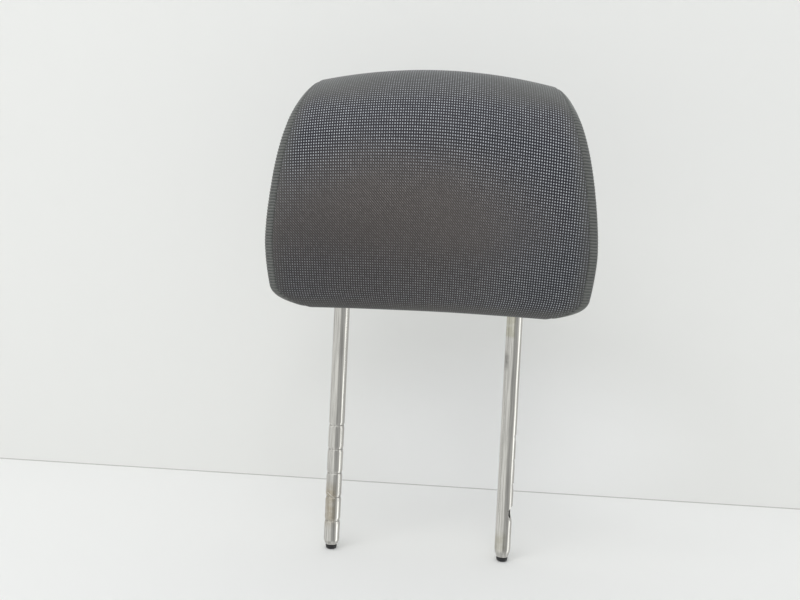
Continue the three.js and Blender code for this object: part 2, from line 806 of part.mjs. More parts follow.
addPiece('foam_core', geometryOf(foamSolid()), foam);
addPiece('cover_wrap', geometryOf(wrapSolid().subtract(coverPassage)), cloth);
addPiece('cover_side_left', geometryOf(sideSolid(-1)), sideCloth);
addPiece('cover_side_right', geometryOf(sideSolid(1)), sideCloth);
addPiece('closure_strip_front', geometryOf(stripSolid(-1, 0).subtract(coverPassage)), blackPlastic);
addPiece('closure_strip_rear', geometryOf(stripSolid(1, 0).subtract(coverPassage)), blackPlastic);

const group = new THREE.Group();
group.name = 'car_headrest';
group.add(headrest);

export default group;
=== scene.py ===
import math

import bmesh
import bpy
import numpy as np
from mathutils import Matrix, Vector


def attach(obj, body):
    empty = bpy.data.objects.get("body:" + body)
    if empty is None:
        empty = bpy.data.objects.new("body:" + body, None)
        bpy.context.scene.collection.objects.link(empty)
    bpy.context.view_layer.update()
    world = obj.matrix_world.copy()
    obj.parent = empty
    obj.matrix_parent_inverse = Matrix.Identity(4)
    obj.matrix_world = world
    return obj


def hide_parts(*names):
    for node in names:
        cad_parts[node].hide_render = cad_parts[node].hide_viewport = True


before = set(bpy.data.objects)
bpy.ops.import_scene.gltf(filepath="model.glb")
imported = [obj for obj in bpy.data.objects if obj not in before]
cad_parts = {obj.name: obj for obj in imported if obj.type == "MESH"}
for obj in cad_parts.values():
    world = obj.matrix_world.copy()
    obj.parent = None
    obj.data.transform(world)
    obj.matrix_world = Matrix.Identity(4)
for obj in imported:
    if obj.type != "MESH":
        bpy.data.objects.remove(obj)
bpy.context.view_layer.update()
MM = 0.001

# Sizes of the part, in millimetres, as in its source
POST_SPACING = 142.0
POST_RADIUS = 6.5
POST_WALL = 1.5
POST_REACH = 199.8
BAR_HEIGHT = 104.0
BEND_RADIUS = 34.0
END_RADIUS = 4.8
END_BORE_RADIUS = 3.2
END_LENGTHS = (4.6, 7.0)
END_FACE_HEIGHT = 3.6
END_CHAMFER = 0.4
FIRST_GROOVE_HEIGHT = 24.0
GROOVE_PITCH = 20.0
GROOVE_COUNT = 5
GROOVE_DEPTH = 0.45
GROOVE_REACH = 2.8
GROOVE_LINE_DEPTH = 0.25
GROOVE_LINE_WIDTH = 0.9
NOTCH_TURN = 15.0
NOTCH_STEP = 1.3
NOTCH_DEPTH = 1.0
NOTCH_RAMP = 7.5
STOP_NOTCH_INDEX = 1
STOP_NOTCH_DEPTH = 2.4
STOP_NOTCH_STEP = 2.8
STOP_NOTCH_SLANT = 4.6
STOP_NOTCH_FLOOR = 3.6
STOP_NOTCH_RAMP = 6.6
PLUG_RADIUS = 4.6
PLUG_STEM_LENGTH = 11.0
PLUG_FOOT_RADIUS = 3.0

CUSHION_HEIGHT = 191.7
CUSHION_HALF_WIDTH = 127.5
WIDEST_HEIGHT = 50.0
TOP_PULL_IN = 29.7
TOP_PULL_POWER = 1.45
FOOT_PULL_IN = 3.2
FOOT_CORNER_WIDTH = 22.0
FOOT_CORNER_HEIGHT = 19.0
FOOT_CORNER_POWER = 2.5
TOP_ARCH = 11.4
FOOT_ARCH = 3.0
FRONT_REACH = 78.0
FRONT_HEIGHT = 134.0
FOOT_REACH = 37.0
FOOT_HEIGHT = 17.0
FOOT_FLAT = 17.5
BACK_REACH = 41.0
CREST_REACH = 24.0
TOP_ROUND = 34.0
FOOT_ROUND = 20.0
FRONT_CROWN = 8.0
BACK_CROWN = 5.0
EDGE_RADIUS = 10.5
SIDE_BULGE = 2.6
SEAM_STATION = 1 + 20.0 / 90
BROW_DROP = 4.5
BROW_SLOPE = 0.42
BELLY_DROP = 6.4
BELLY_FALL = 34.0
BELLY_SLOPE = -0.34
FOOT_SLOPE = -0.68
NAPE_DROP = 13.0
NAPE_FALL = 4.0
NAPE_SLOPE = -0.31
BACK_DROP = 1.0
BACK_SLOPE = 0.03
CREST_BACK_HOLD = 26.0
CREST_FRONT_HOLD = 18.0
HEEL_HOLD = 10.0
SOLE_HOLD = 8.0
FACE_HOLD = 0.33
TURN_HOLD = 0.5
HEM_GAP = 6.0
HEM_SEWN = 86.0
CLOTH = 2.0
CURVE_STEPS = 60

# Lattice of the cloth's dots: its pitch, its widening towards the sides and its pull to the right
DOT_ACROSS = 1.82
DOT_SPREAD = 2.5e-6
DOT_ALONG = 2.25
DOT_PULL = 0.07


def smooth(low, high, x):
    """Smooth step from 0 at low to 1 at high, and low may be the larger one."""
    t = np.clip((np.asarray(x, float) - low) / (high - low), 0, 1)
    return t * t * (3 - 2 * t)


# Meshes

def mesh_object(name, points, faces, uv=None, attributes=None, sharp=None):
    """Object from points in millimetres, with texture places and named values of the points."""
    mesh = bpy.data.meshes.new(name)
    mesh.from_pydata((np.asarray(points) * MM).tolist(), [], faces)
    mesh.validate(verbose=False)
    mesh.polygons.foreach_set("use_smooth", [True] * len(mesh.polygons))
    if uv is not None:
        index = np.empty(len(mesh.loops), int)
        mesh.loops.foreach_get("vertex_index", index)
        layer = mesh.uv_layers.new(name="UVMap")
        layer.data.foreach_set("uv", np.asarray(uv)[index].ravel())
    for key, values in (attributes or {}).items():
        made = mesh.attributes.new(key, "FLOAT", "POINT")
        made.data.foreach_set("value", np.asarray(values, float))
    if sharp is not None:
        mesh.set_sharp_from_angle(angle=math.radians(sharp))
    obj = bpy.data.objects.new(name, mesh)
    bpy.context.collection.objects.link(obj)
    return obj


def bezier(p, steps):
    """Points along a cubic curve with two ends and two handles."""
    t = np.linspace(0, 1, steps + 1)[:, None]
    p = [np.array(q, float) for q in p]
    return (1 - t) ** 3 * p[0] + 3 * (1 - t) ** 2 * t * p[1] + 3 * (1 - t) * t * t * p[2] + t ** 3 * p[3]


# Form of the cushion

def handle(end, slope, towards, share):
    """Handle of a profile curve, along its end's slope part of the way to another end's height."""
    rise = (towards[1] - end[1]) * share
    return (end[0] + slope * rise, end[1] + rise)


def side_profile():
    """Dense side profile, y against height, from the rear hem round to the front hem."""
    hem = HEM_GAP / 2
    heel = (BACK_REACH - FOOT_ROUND, 0)
    back = (BACK_REACH - BACK_DROP, FOOT_ROUND)
    nape = (BACK_REACH - NAPE_DROP, FRONT_HEIGHT - NAPE_FALL)
    crest = (-CREST_REACH, CUSHION_HEIGHT)
    brow = (BROW_DROP - FRONT_REACH, CUSHION_HEIGHT - TOP_ROUND)
    belly = (BELLY_DROP - FRONT_REACH, FRONT_HEIGHT - BELLY_FALL)
    foot = (-FOOT_REACH, FOOT_HEIGHT)
    sole = (-FOOT_FLAT, 0)

    def face(a, slope_a, b, slope_b):
        """Long curve from one point to the next with the slopes given at both."""
        return [a, handle(a, slope_a, b, FACE_HOLD), handle(b, slope_b, a, FACE_HOLD), b]

    curves = [
        [heel, (heel[0] + HEEL_HOLD, 0), handle(back, BACK_SLOPE, heel, TURN_HOLD), back],
        face(back, BACK_SLOPE, nape, NAPE_SLOPE),
        [nape, handle(nape, NAPE_SLOPE, crest, TURN_HOLD), (crest[0] + CREST_BACK_HOLD, crest[1]), crest],
        [crest, (crest[0] - CREST_FRONT_HOLD, crest[1]), handle(brow, BROW_SLOPE, crest, TURN_HOLD), brow],
        face(brow, BROW_SLOPE, belly, BELLY_SLOPE),
        face(belly, BELLY_SLOPE, foot, FOOT_SLOPE),
        [foot, handle(foot, FOOT_SLOPE, sole, TURN_HOLD), (sole[0] - SOLE_HOLD, 0), sole],
    ]
    line = [np.array([[hem, 0.0]])]
    for curve in curves:
        line.append(bezier(curve, CURVE_STEPS))
    line.append(np.array([[-hem, 0.0]]))
    line = np.vstack(line)
    keep = np.append(True, np.linalg.norm(np.diff(line, axis=0), axis=1) > 1e-9)
    return line[keep]


PROFILE = side_profile()
PROFILE_LENGTH = np.append(0, np.cumsum(np.linalg.norm(np.diff(PROFILE, axis=0), axis=1)))
PROFILE_MIN, PROFILE_MAX = PROFILE.min(0), PROFILE.max(0)
CENTRE = (PROFILE_MIN + PROFILE_MAX) / 2
HALF = (PROFILE_MAX - PROFILE_MIN) / 2
ROUND = PROFILE_LENGTH[-1]


def half_width(height):
    """Half of the cushion's width at a height above its underside."""
    above = np.maximum(height - WIDEST_HEIGHT, 0) / (CUSHION_HEIGHT - WIDEST_HEIGHT)
    below = np.maximum(WIDEST_HEIGHT - height, 0) / WIDEST_HEIGHT
    corner = np.maximum(FOOT_CORNER_HEIGHT - height, 0) / FOOT_CORNER_HEIGHT
    return (CUSHION_HALF_WIDTH - TOP_PULL_IN * above ** TOP_PULL_POWER - FOOT_PULL_IN * below ** 2
            - FOOT_CORNER_WIDTH * corner ** FOOT_CORNER_POWER)


def form(station, along):
    """Point of the cover's outer face: station across, and length along the side profile."""
    station, along = np.broadcast_arrays(np.asarray(station, float), np.asarray(along, float))
    at = np.stack([np.interp(along, PROFILE_LENGTH, PROFILE[:, k]) for k in (0, 1)], -1)
    place = np.abs(station)
    side = np.sign(station)
    spread = np.minimum(place, 1)
    angle = np.clip(place - 1, 0, 1) * math.pi / 2
    shrink = np.minimum(3 - place, 1)
    inset = EDGE_RADIUS * (1 - np.cos(angle))
    y = CENTRE[0] + (at[..., 0] - CENTRE[0]) * (1 - inset / HALF[0]) * shrink
    z = CENTRE[1] + (at[..., 1] - CENTRE[1]) * (1 - inset / HALF[1]) * shrink
    width = half_width(z)
    reach = EDGE_RADIUS * np.sin(angle) + SIDE_BULGE * (1 - shrink ** 2)
    x = side * ((width - EDGE_RADIUS) * spread + reach)
    across = x / width
    foot = FOOT_ARCH * (1 - (x / CUSHION_HALF_WIDTH) ** 2)
    arched = z - TOP_ARCH * (z / CUSHION_HEIGHT) ** 2 * across ** 2 + foot * (1 - z / CUSHION_HEIGHT)
    crown = np.where(y < 0, FRONT_CROWN * y / PROFILE_MIN[0], -BACK_CROWN * y / PROFILE_MAX[0])
    return np.stack([x, y + crown * across ** 2, arched + POST_REACH], -1)


def outward(station, along):
    """Unit vectors out of the form's face."""
    nudge, step, margin = 0.004, 0.4, 0.5
    along = np.clip(along, margin, ROUND - margin)
    a = form(np.clip(station + nudge, -3, 3), along) - form(np.clip(station - nudge, -3, 3), along)
    b = form(station, along + step) - form(station, along - step)
    n = np.cross(b, a)
    length = np.linalg.norm(n, axis=-1, keepdims=True)
    side = np.zeros_like(n)
    side[..., 0] = np.sign(station)
    return np.where(length > 1e-6, n / np.maximum(length, 1e-9), side)


# Soft swelling of the cushion between its seams, from a cloth simulation on a coarse skin

# Stations of the coarse skin: over the faces, over the edge, and in over the side panel
SKIN_FACE = np.linspace(0, 1, 24)
SKIN_EDGE = 1 + np.array([0.11, SEAM_STATION - 1, 0.45, 0.72, 1.0])
SKIN_SIDE = [2.25, 2.5, 2.75, 2.93]
SKIN_ROUND = 110
SKIN_INSET = 1.2
SWELL_LIMIT = 1.2
SIM_FRAMES = 20
# What is held: so many millimetres of the rear and the front hem, and the stations round the seam
HEM_HELD = (4, 5)
SEAM_HOLD_REACH = 0.12
SEAM_HOLD_SHARE = 0.6
# Stations over which the swelling of a side panel runs out into one level, taken from its middle
LEVELLED = (1.8, 2.6)
LEVEL_FROM = 2.2


def skin_object(points):
    """Closed skin over a grid of points that runs across in rows and round in columns."""
    rows, columns = points.shape[:2]
    faces = []
    for i in range(rows - 1):
        for j in range(columns):
            k = (j + 1) % columns
            faces.append((i * columns + j, i * columns + k, (i + 1) * columns + k, (i + 1) * columns + j))
    faces.append(tuple(range(columns - 1, -1, -1)))
    faces.append(tuple(range((rows - 1) * columns, rows * columns)))
    return mesh_object("swelling_skin", points.reshape(-1, 3), faces)


def simulate(skin):
    """Blow the skin up by inner pressure and give its points, in metres."""
    cloth = skin.modifiers.new("Cloth", "CLOTH")
    use = cloth.settings
    use.vertex_group_mass = "held"
    use.quality = 6
    use.mass = 0.3
    use.tension_stiffness = 25
    use.compression_stiffness = 18
    use.shear_stiffness = 9
    use.bending_stiffness = 1.5
    use.use_pressure = True
    use.uniform_pressure_force = 4
    use.effector_weights.gravity = 0
    cloth.collision_settings.use_collision = False
    scene = bpy.context.scene
    scene.frame_start, scene.frame_end = 1, SIM_FRAMES
    for f in range(1, SIM_FRAMES + 1):
        scene.frame_set(f)
    got = skin.evaluated_get(bpy.context.evaluated_depsgraph_get())
    flat = np.empty(len(got.data.vertices) * 3)
    got.data.vertices.foreach_get("co", flat)
    scene.frame_set(1)
    return flat


def swelling():
    """Outward movement of the skin on a coarse grid of stations and lengths, in millimetres."""
    across = np.concatenate([SKIN_FACE, SKIN_EDGE, SKIN_SIDE])
    stations = np.concatenate([-across[:0:-1], across])
    lengths = np.linspace(0, ROUND, SKIN_ROUND, endpoint=False)
    s, l = np.meshgrid(stations, lengths, indexing="ij")
    normal = outward(s, l)
    points = form(s, l) - normal * SKIN_INSET
    skin = skin_object(points)
    held = skin.vertex_groups.new(name="held")
    place = np.abs(s)
    pin = (np.abs(place - SEAM_STATION) < 0.01) | (l < HEM_HELD[0]) | (l > ROUND - HEM_HELD[1])
    by_seam = np.exp(-((place - SEAM_STATION) / SEAM_HOLD_REACH) ** 2)
    firm = np.where(pin, 1.0, np.clip(by_seam, 0.0, SEAM_HOLD_SHARE))
    for i, w in enumerate(firm.ravel()):
        held.add([i], float(w), "REPLACE")
    moved = simulate(skin).reshape(points.shape) / MM - points
    bpy.data.objects.remove(skin)
    out = (moved * normal).sum(-1)
    middle = np.median(out[place < 1])
    print("swelling mm", out.min(), middle, out.max())
    out = np.clip(out - middle, -SWELL_LIMIT, SWELL_LIMIT)
    inward = smooth(*LEVELLED, place)
    for side in (-1, 1):
        level = out[(s * side > LEVEL_FROM) & (s * side < LEVELLED[1])].mean()
        out = np.where(s * side > 0, out * (1 - inward) + level * inward, out)
    return stations, lengths, out


SWELL = swelling()


def swell(station, along):
    """The simulated swelling at any place, between the points of its coarse grid."""
    stations, lengths, moved = SWELL
    moved = np.concatenate([moved, moved[:, :1]], axis=1)
    lengths = np.append(lengths, ROUND)
    u = np.interp(station, stations, np.arange(len(stations)))
    v = np.interp(along, lengths, np.arange(len(lengths)))
    i = np.clip(u.astype(int), 0, len(stations) - 2)
    j = np.clip(v.astype(int), 0, len(lengths) - 2)
    a = smooth(0, 1, u - i) * 0.5 + (u - i) * 0.5
    b = smooth(0, 1, v - j) * 0.5 + (v - j) * 0.5
    low = moved[i, j] * (1 - a) + moved[i + 1, j] * a
    high = moved[i, j + 1] * (1 - a) + moved[i + 1, j + 1] * a
    return low * (1 - b) + high * b


def wave(values, seed, count=7):
    """Slow seeded unevenness from a few sines."""
    rng = np.random.default_rng(seed)
    total = np.zeros(np.broadcast(*values).shape)
    for _ in range(count):
        k = rng.normal(size=len(values))
        phase = rng.uniform(0, 2 * math.pi)
        total = total + np.sin(sum(a * v for a, v in zip(k, values)) + phase)
    return total / count


# Relief of the cover, in millimetres
VALLEY_DEPTH = 0.7
VALLEY_REACH = 0.7
WELT_HEIGHT = 0.12
WELT_AWAY = 2.2
WELT_REACH = 1.1
UNEVEN_HEIGHT = 0.10
UNEVEN_LENGTH = 13
WRAP_RIBS = 0.12
SIDE_RIBS = 0.45
HEM_CLOSED = 0.1
HEM_EASE = 14


def skin(station, along, ribs):
    """Outer face of the cover with its swelling, the seam valley and fine ribs, and its normals."""
    base = form(station, along)
    normal = outward(station, along)
    place = np.abs(station)
    at_seam = np.abs(place - SEAM_STATION) * EDGE_RADIUS * math.pi / 2
    at_seam = np.where(place < 1, 99, at_seam)
    lift = swell(station, along)
    lift = lift - VALLEY_DEPTH * np.exp(-(at_seam / VALLEY_REACH) ** 2)
    lift = lift + WELT_HEIGHT * np.exp(-((at_seam - WELT_AWAY) / WELT_REACH) ** 2)
    lift = lift + UNEVEN_HEIGHT * wave([base[..., k] / UNEVEN_LENGTH for k in (0, 1, 2)], 5)
    rib = 0.5 - 0.5 * np.cos(2 * math.pi * base[..., 2] / DOT_ALONG)
    upright = np.abs(form(station, along + 0.2)[..., 2] - form(station, along - 0.2)[..., 2]) / 0.4
    ribbed = smooth(0.93, 1.1, place) * smooth(2.1, 1.85, place) * smooth(0.6, 0.85, upright)
    lift = lift + ribs * rib * ribbed
    face = base + normal * lift[..., None]
    from_hem = np.minimum(along, ROUND - along)
    beyond = smooth(HEM_SEWN - 4, HEM_SEWN + 2, np.abs(base[..., 0]))
    drawn = (HEM_GAP / 2 - HEM_CLOSED) * beyond * smooth(HEM_EASE, 0, from_hem)
    face[..., 1] += np.where(place < 1.3, drawn, 0) * np.where(along < ROUND / 2, -1, 1)
    return face, normal


def sheet_mesh(name, stations, lengths, closed, ribs, capped=None):
    """Cloth panel with its thickness, as a closed mesh over a grid of stations and lengths.

    A closed panel goes round, and the end row named by capped is shut by a face of its own.
    """
    s, l = np.meshgrid(stations, lengths, indexing="ij")
    face, normal = skin(s, l, ribs)
    inner = face - normal * (CLOTH - 0.1)
    rows, columns = s.shape
    points = np.concatenate([face.reshape(-1, 3), inner.reshape(-1, 3)])
    shift = rows * columns
    faces = []
    last = columns if closed else columns - 1
    for i in range(rows - 1):
        for j in range(last):
            k = (j + 1) % columns
            a, b, c, d = i * columns + j, i * columns + k, (i + 1) * columns + k, (i + 1) * columns + j
            faces.append((a, b, c, d))
            faces.append((shift + d, shift + c, shift + b, shift + a))
    for row in (0, rows - 1):
        start = row * columns
        if row == capped:
            ring = list(range(start, start + columns))
            ring = ring[::-1] if row == 0 else ring
            faces += [tuple(ring), tuple(shift + i for i in ring[::-1])]
            continue
        for j in range(last):
            k = (j + 1) % columns
            quad = (shift + start + j, shift + start + k, start + k, start + j)
            faces.append(quad if row == 0 else quad[::-1])
    if not closed:
        for i in range(rows - 1):
            a, b = i * columns, (i + 1) * columns
            faces.append((a, b, shift + b, shift + a))
            a, b = a + columns - 1, b + columns - 1
            faces.append((shift + a, shift + b, b, a))
    cells = dot_cells(s, l).reshape(-1, 2)
    shade = cover_shades(face, normal, s)
    both = {key: np.tile(value.ravel(), 2) for key, value in shade.items()}
    return mesh_object(name, points, faces, np.tile(cells, (2, 1)), both)


def dot_cells(station, along):
    """Place in the lattice of dots: columns run parallel over the faces, rows sag a little to the right."""
    place = np.abs(station)
    width = half_width(form(station, along)[..., 2] - POST_REACH)
    x = (width - EDGE_RADIUS) * np.minimum(place, 1) + EDGE_RADIUS * math.pi / 2 * np.clip(place - 1, 0, 1)
    x = np.sign(station) * x
    grid = np.linspace(-160, 160, 321)
    sag = np.cumsum(DOT_PULL * smooth(-30, 50, grid))
    u = x * (1 - DOT_SPREAD * x * x) / DOT_ACROSS
    v = (along - np.interp(x, grid, sag)) / DOT_ALONG
    return np.stack([u, v], -1)


def cover_shades(point, normal, station):
    """State of the cloth at points of its face, with painted sheen and shade, each value from 0 to 1.

    worn is how far the dots are rubbed off, soil the warm dirt, turned the painted sheen that makes the
    faces paler towards the edges, worn_and_sheen_fade what worn and turned take from the dots together,
    and lower_shade the painted shade towards the bottom of the front, stronger on the left. Places are
    millimetres from the cushion's middle and above its underside.
    """
    x, y, z = point[..., 0], point[..., 1], point[..., 2] - POST_REACH
    front = smooth(0, -20, y)
    uneven = wave([x / 17, z / 15], 3) + 0.5 * wave([x / 6, z / 6], 4)
    # Rubbed from the left to the middle, up to an arched upper end, and a little along foot and brow
    upper = 116 - 0.0028 * (x + 15) ** 2 + 10 * uneven
    worn = smooth(146, 8, x) * smooth(upper + 32, upper - 30, z) * front
    worn = 0.84 * worn * (1 - 0.5 * smooth(64, 30, z)) * (1 - 0.4 * smooth(40, 75, x) * smooth(72, 50, z))
    foot = 0.08 * smooth(34, 8, z) * smooth(30, 100, x)
    brow = 0.12 * smooth(130, 144, z) * smooth(178, 166, z)
    worn = worn + (foot + brow) * front
    # Painted sheen: paler, with fewer dots, on the top, on the edge, in the upper corners and at the foot
    corner = 0.5 * smooth(150, 172, z) * smooth(20, 90, np.abs(x))
    edge = 0.5 * smooth(0.90, 1.05, np.abs(station))
    turned = 0.55 * smooth(0.3, 0.85, normal[..., 2]) + edge + corner
    turned = turned + 0.75 * smooth(13, 4, z) * front
    kept = (1 - np.clip(worn + 0.07 * uneven * front, 0, 0.9)) * (1 - np.clip(turned, 0, 0.7))
    soiled = np.hypot((x + 26) / 116, (z - 66) / 70) + 0.2 * uneven
    soil = (1 - smooth(0.2, 1.25, soiled)) * front
    # Painted shade: the front grows darker towards the bottom, more on the left
    lower_shade = (0.5 + 0.5 * smooth(70, -70, x)) * smooth(118, 40, z) * front
    return {"worn": np.clip(worn, 0, 1), "soil": soil, "worn_and_sheen_fade": 1 - kept, "lower_shade": lower_shade,
            "turned": np.clip(turned, 0, 1)}


def cut(obj, cutter):
    """Cut one object out of another for good, and drop the cutter."""
    modifier = obj.modifiers.new("Cut", "BOOLEAN")
    modifier.operation = "DIFFERENCE"
    modifier.solver = "EXACT"
    modifier.object = cutter
    done = obj.evaluated_get(bpy.context.evaluated_depsgraph_get())
    mesh = bpy.data.meshes.new_from_object(done)
    obj.modifiers.clear()
    old = obj.data
    obj.data = mesh
    bpy.data.meshes.remove(old)
    bpy.data.objects.remove(cutter)


def rod(radius, low, high, x, sides=48):
    """Upright round cutter."""
    turn = np.arange(sides) * 2 * math.pi / sides
    ring = np.stack([x + radius * np.cos(turn), radius * np.sin(turn)], -1)
    points = [(a, b, low) for a, b in ring] + [(a, b, high) for a, b in ring]
    faces = [(i, (i + 1) % sides, sides + (i + 1) % sides, sides + i) for i in range(sides)]
    faces += [tuple(range(sides - 1, -1, -1)), tuple(range(sides, 2 * sides))]
    return mesh_object("cutter", points, faces)


WRAP_ROWS = 380
STEPS_PER_RIB = 5
POST_HOLE_GAP = 0.6


def cover_panels():
    """The main panel and the two side panels, with rows that close up towards the seams."""
    closing = 0.62 * np.array([0.30, 0.22, 0.15, 0.10, 0.065, 0.04, 0.022, 0.008])
    right = np.concatenate([np.linspace(0, 0.985, 56), SEAM_STATION - closing])
    wrap = np.concatenate([-right[:0:-1], right])
    panel = sheet_mesh("cover_front_top_back", wrap, np.linspace(0, ROUND, WRAP_ROWS), False, WRAP_RIBS)
    for side in (-1, 1):
        hole = rod(POST_RADIUS + POST_HOLE_GAP, POST_REACH - 20, POST_REACH + 16, side * POST_SPACING / 2)
        cut(panel, hole)
    panel.data.set_sharp_from_angle(angle=math.radians(45))
    panels = [panel]
    outer = SEAM_STATION + closing[::-1]
    turn = np.linspace(outer[-1] + 0.09, 2.0, 8)
    edge = np.concatenate([outer, turn, [2.1, 2.22, 2.36, 2.52, 2.7, 2.86, 2.985]])
    around = np.linspace(0, ROUND, int(ROUND / DOT_ALONG) * STEPS_PER_RIB, endpoint=False)
    for name, side in (("cover_left_side", -1), ("cover_right_side", 1)):
        order = edge if side > 0 else -edge[::-1]
        capped = len(order) - 1 if side > 0 else 0
        panels.append(sheet_mesh(name, order, around, True, SIDE_RIBS, capped))
    return panels


wrap_panel, left_panel, right_panel = cover_panels()


# Steel posts

GROOVE_STEPS = (-3.4, -2.9, -2.2, -1.5, -0.95, -0.6, -0.45, -0.2, 0,
                0.2, 0.45, 0.6, 0.95, 1.5, 2.2, 2.9, 3.4)
NOTCH_OVERHANG = 2
NOTCH_HALF_LENGTH = 9.0


def tube_line():
    """Stations along the tube from the left lower end over the crossbar: place, tangent and height."""
    leg = POST_SPACING / 2
    low = [END_FACE_HEIGHT + o for o in (0, 0.2, 0.4, 0.8, 1.4, 2.0, 2.6, 3.3, 4.0, 4.8, 5.8, 7.2, 9.0)]
    for i in range(GROOVE_COUNT):
        h = FIRST_GROOVE_HEIGHT + i * GROOVE_PITCH
        low += [h + o for o in GROOVE_STEPS]
    top = POST_REACH + BAR_HEIGHT - BEND_RADIUS
    low += list(np.linspace(FIRST_GROOVE_HEIGHT + GROOVE_COUNT * GROOVE_PITCH, top, 12))
    low = sorted(low)
    points, across = [], []
    for h in low:
        points.append((-leg, h))
        across.append((1.0, 0.0))
    for side in (-1, 1):
        for i in range(1, 16):
            turn = math.pi - i * math.pi / 32 if side < 0 else math.pi / 2 - i * math.pi / 32
            points.append((side * (leg - BEND_RADIUS) + BEND_RADIUS * math.cos(turn),
                           top + BEND_RADIUS * math.sin(turn)))
            across.append((-math.cos(turn), -math.sin(turn)))
        if side < 0:
            points.append((0, top + BEND_RADIUS))
            across.append((0.0, -1.0))
    for h in low[::-1]:
        points.append((leg, h))
        across.append((-1.0, 0.0))
    return np.array(points), np.array(across)


def end_radius(above, length):
    """Radius of the closed-in end at a height above the metal's end."""
    heights = [0, END_CHAMFER, length * 0.22, length * 0.45, length * 0.72, length, length + 1]
    drop = POST_RADIUS - END_RADIUS
    radii = [END_RADIUS - END_CHAMFER, END_RADIUS, END_RADIUS + drop * 0.28, END_RADIUS + drop * 0.58,
             END_RADIUS + drop * 0.86, POST_RADIUS, POST_RADIUS]
    return np.interp(above, heights, radii)


def tube_radii(line, legs):
    """Outer and inner radius of the tube at each of its stations."""
    outer = np.full(len(line), POST_RADIUS)
    for side, length in zip((-1, 1), END_LENGTHS):
        this = legs & (np.sign(line[:, 0]) == side)
        outer[this] = end_radius(line[this, 1] - END_FACE_HEIGHT, length)
    left = legs & (line[:, 0] < 0)
    for i in range(GROOVE_COUNT):
        off = np.abs(line[:, 1] - FIRST_GROOVE_HEIGHT - i * GROOVE_PITCH)
        dip = GROOVE_DEPTH * (1 - smooth(0.2, GROOVE_REACH, off))
        dip = dip + GROOVE_LINE_DEPTH * np.clip(1 - off / (GROOVE_LINE_WIDTH / 2), 0, 1)
        outer[left] -= dip[left]
    bore = POST_RADIUS - POST_WALL
    bore_low = END_FACE_HEIGHT + max(END_LENGTHS) + POST_WALL * 2
    opening = np.interp(line[:, 1], [bore_low, bore_low + 2], [END_BORE_RADIUS, bore])
    return outer, np.where(legs, opening, bore)


def notch_shapes():
    """Outline of each notch's cutter, as depth under the post's face against height."""
    out = -NOTCH_OVERHANG
    for i in range(STOP_NOTCH_INDEX, GROOVE_COUNT):
        height = FIRST_GROOVE_HEIGHT + i * GROOVE_PITCH
        if i == STOP_NOTCH_INDEX:
            floor = height + STOP_NOTCH_STEP - STOP_NOTCH_SLANT
            share = (STOP_NOTCH_DEPTH + NOTCH_OVERHANG) / STOP_NOTCH_DEPTH
            yield [(out, floor + share * STOP_NOTCH_SLANT), (STOP_NOTCH_DEPTH, floor),
                   (STOP_NOTCH_DEPTH, floor - STOP_NOTCH_FLOOR),
                   (out, floor - STOP_NOTCH_FLOOR - share * STOP_NOTCH_RAMP)]
        else:
            top = height + NOTCH_STEP
            share = (NOTCH_DEPTH + NOTCH_OVERHANG) / NOTCH_DEPTH
            yield [(out, top), (NOTCH_DEPTH, top), (NOTCH_DEPTH, height), (out, top - share * NOTCH_RAMP)]


def posts(sides=72):
    """The bent tube with its closed-in ends, the left leg's grooves and the right leg's notches."""
    line, across = tube_line()
    legs = np.abs(line[:, 0]) > POST_SPACING / 2 - 0.01
    turn = np.arange(sides) * 2 * math.pi / sides
    rings = []
    for radii in tube_radii(line, legs):
        a = np.cos(turn)[None, :] * radii[:, None]
        b = np.sin(turn)[None, :] * radii[:, None]
        x = line[:, :1] + across[:, :1] * a
        z = line[:, 1:] + across[:, 1:] * a
        rings.append(np.stack([x, b, z], -1).reshape(-1, 3))
    inside = len(line) * sides
    last = inside - sides
    faces = []
    for i in range(len(line) - 1):
        for j in range(sides):
            k = (j + 1) % sides
            quad = (i * sides + j, i * sides + k, (i + 1) * sides + k, (i + 1) * sides + j)
            faces += [quad, tuple(inside + q for q in quad[::-1])]
    for j in range(sides):
        k = (j + 1) % sides
        faces.append((j, inside + j, inside + k, k))
        faces.append((last + k, inside + last + k, inside + last + j, last + j))
    steel = mesh_object("posts", np.concatenate(rings), faces)
    for shape in notch_shapes():
        cut(steel, notch_cutter(shape))
    steel.data.polygons.foreach_set("use_smooth", [True] * len(steel.data.polygons))
    steel.data.set_sharp_from_angle(angle=math.radians(26))
    return steel


def notch_cutter(shape):
    """Long block with a notch's outline, turned to the post's outer side."""
    turn = -math.radians(NOTCH_TURN)
    points = []
    for far in (-NOTCH_HALF_LENGTH, NOTCH_HALF_LENGTH):
        for depth, height in shape:
            out = POST_RADIUS - depth
            points.append((POST_SPACING / 2 + out * math.cos(turn) - far * math.sin(turn),
                           out * math.sin(turn) + far * math.cos(turn), height))
    n = len(shape)
    faces = [(i, (i + 1) % n, n + (i + 1) % n, n + i) for i in range(n)]
    faces += [tuple(range(n - 1, -1, -1)), tuple(range(n, 2 * n))]
    cutter = mesh_object("cutter", points, faces)
    made = bmesh.new()
    made.from_mesh(cutter.data)
    bmesh.ops.recalc_face_normals(made, faces=made.faces)
    made.to_mesh(cutter.data)
    made.free()
    return cutter


post_piece = posts()


